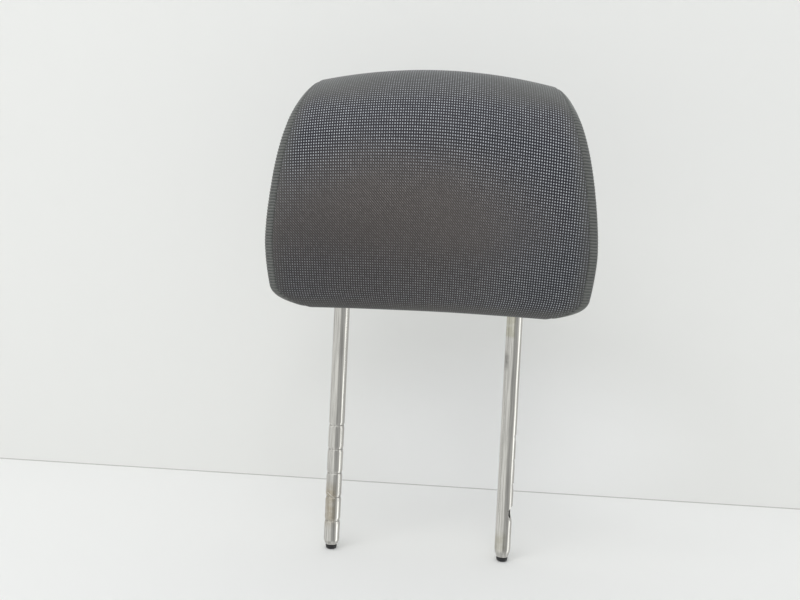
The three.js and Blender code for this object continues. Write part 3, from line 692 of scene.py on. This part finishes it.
def lathe(name, outline, x, sides=48):
    """Turned piece from its outline of radius against height, closed at the axis."""
    turn = np.arange(sides) * 2 * math.pi / sides
    points, rings = [], []
    for radius, height in outline:
        if radius == 0:
            rings.append([len(points)])
            points.append((x, 0, height))
        else:
            rings.append(list(range(len(points), len(points) + sides)))
            points += [(x + radius * math.cos(t), radius * math.sin(t), height) for t in turn]
    faces = []
    for low, high in zip(rings, rings[1:]):
        for j in range(sides):
            k = (j + 1) % sides
            if len(low) == 1:
                faces.append((low[0], high[k], high[j]))
            elif len(high) == 1:
                faces.append((low[j], low[k], high[0]))
            else:
                faces.append((low[j], low[k], high[k], high[j]))
    return mesh_object(name, points, faces, sharp=35)


def end_plug(name, side):
    """Plug with a rounded foot under the post's end and a stem in its bore."""
    shoulder = END_FACE_HEIGHT - 0.3
    stem = END_BORE_RADIUS - 0.3
    r = PLUG_RADIUS
    outline = [(0, 0), (PLUG_FOOT_RADIUS * 0.6, 0.02), (PLUG_FOOT_RADIUS, 0.12), (r - 0.75, 0.45),
               (r - 0.3, 0.95), (r - 0.05, 1.6), (r, 2.0), (r, shoulder - 0.25), (r - 0.25, shoulder),
               (stem, shoulder), (stem, shoulder + PLUG_STEM_LENGTH - 1),
               (stem - 1, shoulder + PLUG_STEM_LENGTH), (0, shoulder + PLUG_STEM_LENGTH)]
    return lathe(name, outline, side * POST_SPACING / 2)


left_plug = end_plug("plug_left", -1)
right_plug = end_plug("plug_right", 1)


# Materials

class Nodes:
    """Short way to write the node tree of a material or a world."""

    def __init__(self, block, out="ShaderNodeOutputMaterial"):
        block.use_nodes = True
        self.block = block
        self.tree = block.node_tree
        self.tree.nodes.clear()
        self.out = self.tree.nodes.new(out)

    def new(self, kind, **values):
        node = self.tree.nodes.new(kind)
        for key, value in values.items():
            setattr(node, key, value)
        return node

    def put(self, socket, value):
        if isinstance(value, bpy.types.NodeSocket):
            self.tree.links.new(value, socket)
        else:
            socket.default_value = value

    def math(self, operation, a, b=0.0, c=0.0, clamp=False):
        node = self.new("ShaderNodeMath", operation=operation, use_clamp=clamp)
        for socket, value in zip(node.inputs, (a, b, c)):
            self.put(socket, value)
        return node.outputs[0]

    def product(self, first, *rest):
        for value in rest:
            first = self.math("MULTIPLY", first, value)
        return first

    def vector(self, operation, a, b=(0, 0, 0)):
        node = self.new("ShaderNodeVectorMath", operation=operation)
        self.put(node.inputs[0], a)
        self.put(node.inputs[1], b)
        return node.outputs

    def combine(self, x, y, z=0.0):
        node = self.new("ShaderNodeCombineXYZ")
        for socket, value in zip(node.inputs, (x, y, z)):
            self.put(socket, value)
        return node.outputs[0]

    def ramp(self, value, low, high, to_low=0.0, to_high=1.0, kind="SMOOTHSTEP"):
        node = self.new("ShaderNodeMapRange", interpolation_type=kind)
        for key, v in (("Value", value), ("From Min", low), ("From Max", high), ("To Min", to_low),
                       ("To Max", to_high)):
            self.put(node.inputs[key], v)
        return node.outputs[0]

    def mix(self, share, a, b):
        node = self.new("ShaderNodeMix", data_type="RGBA")
        self.put(node.inputs["Factor"], share)
        self.put(node.inputs["A"], a)
        self.put(node.inputs["B"], b)
        return node.outputs["Result"]

    def noise(self, vector, scale, detail=2.0, rough=0.5):
        node = self.new("ShaderNodeTexNoise")
        self.put(node.inputs["Vector"], vector)
        self.put(node.inputs["Scale"], scale)
        self.put(node.inputs["Detail"], detail)
        self.put(node.inputs["Roughness"], rough)
        return node.outputs["Fac"]

    def attribute(self, name):
        return self.new("ShaderNodeAttribute", attribute_name=name).outputs["Fac"]

    def object_place(self):
        return self.new("ShaderNodeTexCoord").outputs["Object"]

    def split(self, vector):
        node = self.new("ShaderNodeSeparateXYZ")
        self.put(node.inputs[0], vector)
        return node.outputs

    def bump(self, height, distance, strength):
        node = self.new("ShaderNodeBump")
        self.put(node.inputs["Height"], height)
        self.put(node.inputs["Distance"], distance)
        self.put(node.inputs["Strength"], strength)
        return node.outputs["Normal"]

    def blend(self, share, a, b):
        """One shader over another."""
        node = self.new("ShaderNodeMixShader")
        for socket, value in zip(node.inputs, (share, a, b)):
            self.put(socket, value)
        return node.outputs[0]

    def surface(self, **values):
        shader = self.new("ShaderNodeBsdfPrincipled")
        for key, value in values.items():
            self.put(shader.inputs[key.replace("_", " ")], value)
        self.put(self.out.inputs["Surface"], shader.outputs[0])
        return self.block


def rgb(r, g, b):
    """Linear colour from sRGB values of 0 to 255."""
    def linear(v):
        v = v / 255
        return v / 12.92 if v <= 0.04045 else ((v + 0.055) / 1.055) ** 2.4
    return (linear(r), linear(g), linear(b), 1.0)


CLOTH_SHEEN = {"Roughness": 0.88, "Sheen_Weight": 0.3, "Sheen_Roughness": 0.35,
               "Sheen_Tint": (0.84, 0.86, 0.84, 1), "Specular_IOR_Level": 0.2}


def dotted_cloth(name):
    """Dark cloth with a lattice of light dots that wear, soil and fade with the points' values.

    The points' values also bring painted sheen, which pales and fades the cloth, and painted shade.
    """
    m = Nodes(bpy.data.materials.new(name))
    u, v, _ = m.split(m.new("ShaderNodeUVMap", uv_map="UVMap").outputs[0])
    place = m.object_place()
    worn, soil, worn_and_sheen_fade, turned, lower_shade = map(m.attribute, ("worn", "soil", "worn_and_sheen_fade", "turned", "lower_shade"))
    cu = m.math("COSINE", m.math("MULTIPLY", u, 2 * math.pi))
    cv = m.math("COSINE", m.math("MULTIPLY", v, 2 * math.pi))
    dot = m.math("MULTIPLY", m.ramp(cu, -0.1, 0.85), m.ramp(cv, -0.35, 0.65))
    cell = m.combine(m.math("FLOOR", m.math("ADD", u, 0.5)), m.math("FLOOR", m.math("ADD", v, 0.5)))
    chance = m.new("ShaderNodeTexWhiteNoise", noise_dimensions="2D")
    m.put(chance.inputs["Vector"], cell)
    each = m.ramp(chance.outputs["Value"], 0.0, 1.0, 0.7, 1.12, "LINEAR")
    # Dots fade where the cloth is worn and, as painted sheen, where the face turns away
    shown = m.product(m.math("SUBTRACT", 1.0, worn_and_sheen_fade), each, dot)
    thread = m.noise(place, 900.0, 3.0, 0.6)
    broad = m.noise(place, 26.0, 2.0, 0.5)
    ground = m.mix(thread, rgb(40, 41, 46), rgb(58, 58, 63))
    tired = m.mix(broad, rgb(67, 65, 66), rgb(83, 80, 79))
    # Wear and painted sheen turn the ground to a paler, tired grey; painted sheen pales it further where
    # the face turns away
    ground = m.mix(m.math("MULTIPLY", worn_and_sheen_fade, 0.9), ground, tired)
    ground = m.mix(m.math("MULTIPLY", turned, 0.8), ground, rgb(98, 99, 96))
    ground = m.mix(m.math("MULTIPLY", soil, 0.26), ground, rgb(80, 70, 62))
    light = m.mix(broad, rgb(196, 201, 208), rgb(220, 223, 228))
    light = m.mix(m.math("MULTIPLY", soil, 0.3), light, rgb(160, 150, 140))
    twill = m.math("COSINE", m.math("MULTIPLY", m.math("SUBTRACT", u, v), 2 * math.pi))
    fray = m.product(worn, each, 0.9, m.ramp(twill, -0.2, 1.0))
    colour = m.mix(fray, ground, rgb(130, 124, 120))
    colour = m.mix(shown, colour, light)
    # Painted shade towards the bottom of the front, more on the left
    colour = m.mix(m.math("MULTIPLY", lower_shade, 0.30), colour, rgb(22, 24, 30))
    height = m.math("ADD", shown, m.math("MULTIPLY", fray, 0.5))
    height = m.math("ADD", height, m.math("MULTIPLY", thread, 0.25))
    return m.surface(Base_Color=colour, Normal=m.bump(height, 0.00030, 0.7), **CLOTH_SHEEN)


def ribbed_cloth(name):
    """Plain grey cloth of the side panels, with fine ribs across the seam."""
    m = Nodes(bpy.data.materials.new(name))
    place = m.object_place()
    z = m.split(place)[2]
    rib = m.ramp(m.math("COSINE", m.math("MULTIPLY", z, 2 * math.pi / (DOT_ALONG * MM))), 0.8, -0.8)
    facing = m.split(m.new("ShaderNodeNewGeometry").outputs["Normal"])[2]
    level = m.ramp(m.math("ABSOLUTE", facing), 0.45, 0.75, 1.0, 0.0)
    rib = m.math("ADD", m.math("MULTIPLY", m.math("SUBTRACT", rib, 0.5), level), 0.5)
    thread = m.noise(place, 800.0, 3.0, 0.6)
    colour = m.mix(rib, rgb(74, 75, 74), rgb(112, 114, 110))
    colour = m.mix(m.math("MULTIPLY", thread, 0.4), colour, rgb(120, 121, 119))
    height = m.math("ADD", rib, m.math("MULTIPLY", thread, 0.4))
    return m.surface(Base_Color=colour, Normal=m.bump(height, 0.00025, 0.6), **CLOTH_SHEEN)


# Heights on the posts in metres: the middle of the ring grooves, and how far they reach from it
RINGS_MIDDLE = (FIRST_GROOVE_HEIGHT + (GROOVE_COUNT - 1) * GROOVE_PITCH / 2) * MM
RINGS_REACH = (GROOVE_COUNT - 1) * GROOVE_PITCH / 2 * MM + 0.002
SCRATCH_HEIGHT = 0.0483
SCRATCH_SLOPE = 0.714


def satin_steel(name):
    """Drawn steel with streaks, stains, one scratch, and painted shade in the ring grooves."""
    m = Nodes(bpy.data.materials.new(name))
    place = m.object_place()
    x, y, z = m.split(place)
    left = m.math("LESS_THAN", x, 0.0)
    right = m.math("SUBTRACT", 1.0, left)
    # Distance to the right of each post's middle
    off = m.math("SUBTRACT", m.math("ABSOLUTE", x), POST_SPACING / 2 * MM)
    off = m.math("MULTIPLY", off, m.math("SUBTRACT", right, left))
    front = m.ramp(y, -0.001, 0.001, 1.0, 0.0)
    streak = m.noise(m.combine(x, y, m.math("MULTIPLY", z, 0.04)), 620.0, 3.0, 0.6)
    patch = m.noise(place, 150.0, 3.0, 0.6)
    fine = m.noise(place, 900.0, 2.0, 0.5)
    mottle = m.ramp(patch, 0.3, 0.6, 0.5, 1.0)

    def stain(side, low, high, soft, across, share):
        """Stain on the front of one post: heights and their softness, reach to the right, strength."""
        up = m.ramp(z, low - soft, low + soft)
        down = m.ramp(z, high - soft, high + soft, 1.0, 0.0)
        reach = m.ramp(off, across - 0.0012, across + 0.0012, 1.0, 0.0)
        return m.product(up, down, reach, side, front, mottle, share)

    brown = stain(left, 0.022, 0.054, 0.006, 0.0030, 0.5)
    olive = stain(right, 0.185, 0.205, 0.002, 0.0005, 0.45)
    smudge = stain(right, 0.159, 0.172, 0.003, -0.0035, 0.5)
    foot = stain(right, 0.010, 0.024, 0.004, 0.002, 0.35)
    fall = m.math("MULTIPLY", m.math("ADD", off, 0.0044), SCRATCH_SLOPE)
    away = m.math("ABSOLUTE", m.math("ADD", m.math("SUBTRACT", z, SCRATCH_HEIGHT), fall))
    scratch = m.product(m.ramp(away, 0.0001, 0.0004, 0.7, 0.0), left, front,
                        m.math("COMPARE", off, -0.0012, 0.0032))
    colour = m.mix(m.ramp(streak, 0.3, 0.7), rgb(184, 183, 179), rgb(218, 217, 212))
    for share, tint in ((brown, rgb(156, 141, 108)), (olive, rgb(160, 158, 126)), (smudge, rgb(96, 96, 94)),
                        (foot, rgb(160, 156, 128)), (scratch, rgb(240, 238, 234))):
        colour = m.mix(share, colour, tint)
    # Painted shade in the ring grooves of the left post, strongest at its left edge and on its right side
    # where the highlight runs; it also roughens them
    ring = m.math("SUBTRACT", z, FIRST_GROOVE_HEIGHT * MM)
    nearest = m.math("ROUND", m.math("DIVIDE", ring, GROOVE_PITCH * MM))
    from_ring = m.math("ABSOLUTE", m.math("SUBTRACT", ring, m.math("MULTIPLY", nearest, GROOVE_PITCH * MM)))
    from_middle = m.math("ABSOLUTE", m.math("SUBTRACT", z, RINGS_MIDDLE))
    by_edge = m.math("ADD", m.ramp(off, -0.0045, -0.002, 0.45, 0.1), m.ramp(off, 0.001, 0.0028, 0.0, 0.5))
    groove_shade = m.product(m.ramp(from_ring, 0.0002, 0.0007, 1.0, 0.0),
                      m.math("LESS_THAN", from_middle, RINGS_REACH), left, by_edge)
    colour = m.mix(groove_shade, colour, rgb(112, 110, 106))
    rough = m.math("ADD", m.ramp(patch, 0.3, 0.7, 0.07, 0.12), m.math("MULTIPLY", brown, 0.10))
    rough = m.math("ADD", rough, m.math("MULTIPLY", m.math("ADD", scratch, groove_shade), 0.35))
    return m.surface(Base_Color=colour, Metallic=1.0, Roughness=rough, Normal=m.bump(fine, 0.00003, 0.4))


def plain(name, low, high, roughness, scale, depth, metallic=0.0):
    """Moulded, foamed or turned material: a mottled colour with a fine grain."""
    m = Nodes(bpy.data.materials.new(name))
    grain = m.noise(m.object_place(), scale, 3.0, 0.6)
    rough = m.ramp(grain, 0.2, 0.8, roughness - 0.06, roughness + 0.06)
    return m.surface(Base_Color=m.mix(grain, low, high), Roughness=rough, Metallic=metallic,
                     Normal=m.bump(grain, depth, 0.6))


steel_look = satin_steel("satin_steel")
cloth_look = dotted_cloth("dotted_cloth")
side_look = ribbed_cloth("ribbed_cloth")
black_look = plain("black_plastic", rgb(22, 22, 24), rgb(34, 34, 36), 0.45, 700.0, 0.00004)
core_look = plain("core_plastic", rgb(64, 66, 70), rgb(82, 84, 88), 0.55, 400.0, 0.00005)
foam_look = plain("moulded_foam", rgb(214, 206, 176), rgb(232, 226, 202), 0.92, 600.0, 0.0003)
screw_look = plain("screw_steel", rgb(150, 150, 146), rgb(188, 186, 180), 0.35, 900.0, 0.00002, 1.0)


for obj, look, slot in ((post_piece, steel_look, "post_steel"), (left_plug, black_look, "black_plastic"),
                        (right_plug, black_look, "black_plastic"), (wrap_panel, cloth_look, "cover_cloth"),
                        (left_panel, side_look, "cover_cloth"), (right_panel, side_look, "cover_cloth")):
    obj.data.materials.clear()
    obj.data.materials.append(look)
    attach(obj, "root")

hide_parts("post_frame")
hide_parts("end_plug_left")
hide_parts("end_plug_right")
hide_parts("cover_wrap")
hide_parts("cover_side_left")
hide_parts("cover_side_right")

for node, look in (("core_front", core_look), ("core_rear", core_look), ("core_screw_1", screw_look),
                   ("core_screw_2", screw_look), ("core_screw_3", screw_look), ("core_screw_4", screw_look),
                   ("foam_core", foam_look), ("closure_strip_front", black_look),
                   ("closure_strip_rear", black_look)):
    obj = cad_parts[node]
    for place in obj.material_slots:
        place.material = look


# Camera, as the photograph was taken: place in metres, and yaw, pitch and roll in degrees

CAMERA_PLACE = (0.02504, -0.65611, 0.23482)
CAMERA_TURN = (4.216, 2.139, 2.785)
LENS = SENSOR = 36


def photo_camera():
    yaw, pitch, roll = (math.radians(a) for a in CAMERA_TURN)
    back = Vector((math.sin(yaw) * math.cos(pitch), -math.cos(yaw) * math.cos(pitch), math.sin(pitch)))
    right = Vector((0, 0, 1)).cross(back).normalized()
    up = back.cross(right)
    turned = right * math.cos(roll) + up * math.sin(roll)
    risen = up * math.cos(roll) - right * math.sin(roll)
    data = bpy.data.cameras.new("camera")
    data.sensor_width = SENSOR
    data.lens = LENS
    data.clip_start, data.clip_end = 0.05, 50
    obj = bpy.data.objects.new("camera", data)
    bpy.context.collection.objects.link(obj)
    place = Matrix((turned, risen, back)).transposed().to_4x4()
    place.translation = Vector(CAMERA_PLACE)
    obj.matrix_world = place
    bpy.context.scene.camera = obj


photo_camera()


# Floor, wall and light

def plane(name, corners, look):
    """Flat piece of the stage that shiny pieces don't mirror."""
    mesh = bpy.data.meshes.new(name)
    mesh.from_pydata(corners, [], [(0, 1, 2, 3)])
    obj = bpy.data.objects.new(name, mesh)
    bpy.context.collection.objects.link(obj)
    obj.data.materials.append(look)
    obj.visible_glossy = False


def pale(name, colour, lighter, middle, reach):
    """Pale paint, seen from its front only, with painted light that makes it lighter round one place."""
    m = Nodes(bpy.data.materials.new(name))
    place = m.vector("DIVIDE", m.vector("SUBTRACT", m.object_place(), middle)[0], reach)[0]
    away = m.vector("LENGTH", place)["Value"]
    grain = m.noise(m.object_place(), 2.0, 2.0, 0.5)
    paint = m.mix(m.ramp(away, 1.0, 0.3), colour, lighter)
    shader = m.new("ShaderNodeBsdfPrincipled")
    m.put(shader.inputs["Base Color"], m.mix(m.math("MULTIPLY", grain, 0.012), paint, (0, 0, 0, 1)))
    m.put(shader.inputs["Roughness"], 0.9)
    m.put(shader.inputs["Specular IOR Level"], 0.1)
    clear = m.new("ShaderNodeBsdfTransparent").outputs[0]
    behind = m.new("ShaderNodeNewGeometry").outputs["Backfacing"]
    m.put(m.out.inputs["Surface"], m.blend(behind, shader.outputs[0], clear))
    return m.block


WALL_Y = 0.2145
WALL_SKEW = 0.017
WALL_HEIGHT = 4
JOINT_HEIGHT = 0.0011
STAGE_REACH = 6


def wall_corners(high, nearer):
    """Upright rectangle from the floor up, on the wall's skew line or a little before it."""
    r = STAGE_REACH
    left, right = (WALL_Y + x * WALL_SKEW - nearer for x in (-r, r))
    return [(-r, left, 0), (r, right, 0), (r, right, high), (-r, left, high)]


def floor_corners():
    r = STAGE_REACH
    return [(-r, -r, 0), (r, -r, 0), (r, r, 0), (-r, r, 0)]


# Painted light: floor, wall and joint are lighter round a place low on the wall behind the posts, lifting
# the shade that falls there
floor_look = pale("floor_paint_and_painted_light", rgb(238, 238, 235), rgb(242, 242, 239), (0.12, 0.21, 0), (0.30, 0.17, 1))
wall_look = pale("wall_paint_and_painted_light", rgb(236, 236, 232), rgb(248, 248, 245), (0.075, WALL_Y, 0.055),
                 (0.26, 1, 0.13))
joint_look = pale("joint_shade", rgb(200, 199, 194), rgb(206, 205, 200), (0.075, WALL_Y, 0),
                  (0.26, 1, 0.125))
plane("floor", floor_corners(), floor_look)
plane("wall", wall_corners(WALL_HEIGHT, 0), wall_look)
plane("wall_joint", wall_corners(JOINT_HEIGHT, 0.0005), joint_look)


def area_light(name, place, target, size, power):
    """Soft lamp that neither the camera nor a shiny piece sees."""
    data = bpy.data.lights.new(name, "AREA")
    data.shape = "RECTANGLE"
    data.size, data.size_y = size
    data.energy = power
    obj = bpy.data.objects.new(name, data)
    bpy.context.collection.objects.link(obj)
    obj.location = place
    obj.rotation_mode = "QUATERNION"
    obj.rotation_quaternion = (Vector(place) - Vector(target)).to_track_quat("Z", "Y")
    obj.visible_camera = False
    obj.visible_glossy = False


KEY_PLACE = (-0.85, -2.6, 3.0)
KEY_TARGET = (0, 0, 0.25)
KEY_SIZE = (3.4, 3.4)
KEY_POWER = 63.0
area_light("key", KEY_PLACE, KEY_TARGET, KEY_SIZE, KEY_POWER)


# Directions round the post, in degrees to the right of straight ahead, and how light the room is there
ROOM_STOPS = [(-175, 0.72), (-100, 0.80), (-60, 0.88), (-30, 0.93), (-12, 0.92), (-2, 0.60), (10, 0.46),
              (40, 0.49), (58, 0.58), (71, 0.74), (76, 1.8), (94, 1.8), (100, 0.76), (120, 0.64),
              (150, 0.60), (175, 0.70)]
# Between these upward directions the room changes to a light of its own, overhead and underfoot
ROOM_LEVELS = [(0.22, 0.45, 1.2), (-0.50, -0.72, 0.66)]
ROOM_SCALE = 4


def room_grey(level):
    return (level / ROOM_SCALE, level / ROOM_SCALE, level * 0.985 / ROOM_SCALE, 1)


def room():
    """Plain soft room light; shiny pieces see lighter and darker parts of a room."""
    world = bpy.data.worlds.new("room")
    bpy.context.scene.world = world
    m = Nodes(world, "ShaderNodeOutputWorld")
    x, y, z = m.split(m.new("ShaderNodeTexCoord").outputs["Generated"])
    turn = m.math("ARCTAN2", x, m.math("MULTIPLY", y, -1.0))
    ramp = m.new("ShaderNodeValToRGB")
    m.put(ramp.inputs[0], m.ramp(turn, -math.pi, math.pi, kind="LINEAR"))
    elements = ramp.color_ramp.elements
    while len(elements) > 1:
        elements.remove(elements[0])
    elements[0].position = 0.0
    elements[0].color = (0.19, 0.19, 0.19, 1)
    for degrees, level in ROOM_STOPS:
        elements.new((degrees + 180) / 360).color = room_grey(level)
    shade = ramp.outputs[0]
    for low, high, level in ROOM_LEVELS:
        shade = m.mix(m.ramp(z, low, high, kind="LINEAR"), shade, room_grey(level))

    def light(colour, strength):
        node = m.new("ShaderNodeBackground")
        m.put(node.inputs["Color"], colour)
        m.put(node.inputs["Strength"], strength)
        return node.outputs[0]

    soft = light((0.93, 0.95, 1.0, 1), m.ramp(z, 0.0, 1.0, 0.57, 0.95, "LINEAR"))
    ray = m.new("ShaderNodeLightPath").outputs
    lit = m.blend(ray["Is Glossy Ray"], soft, light(shade, ROOM_SCALE))
    m.put(m.out.inputs["Surface"], m.blend(ray["Is Camera Ray"], lit, light(rgb(226, 227, 224), 1.0)))


room()

scene = bpy.context.scene
scene.view_settings.view_transform = "Standard"
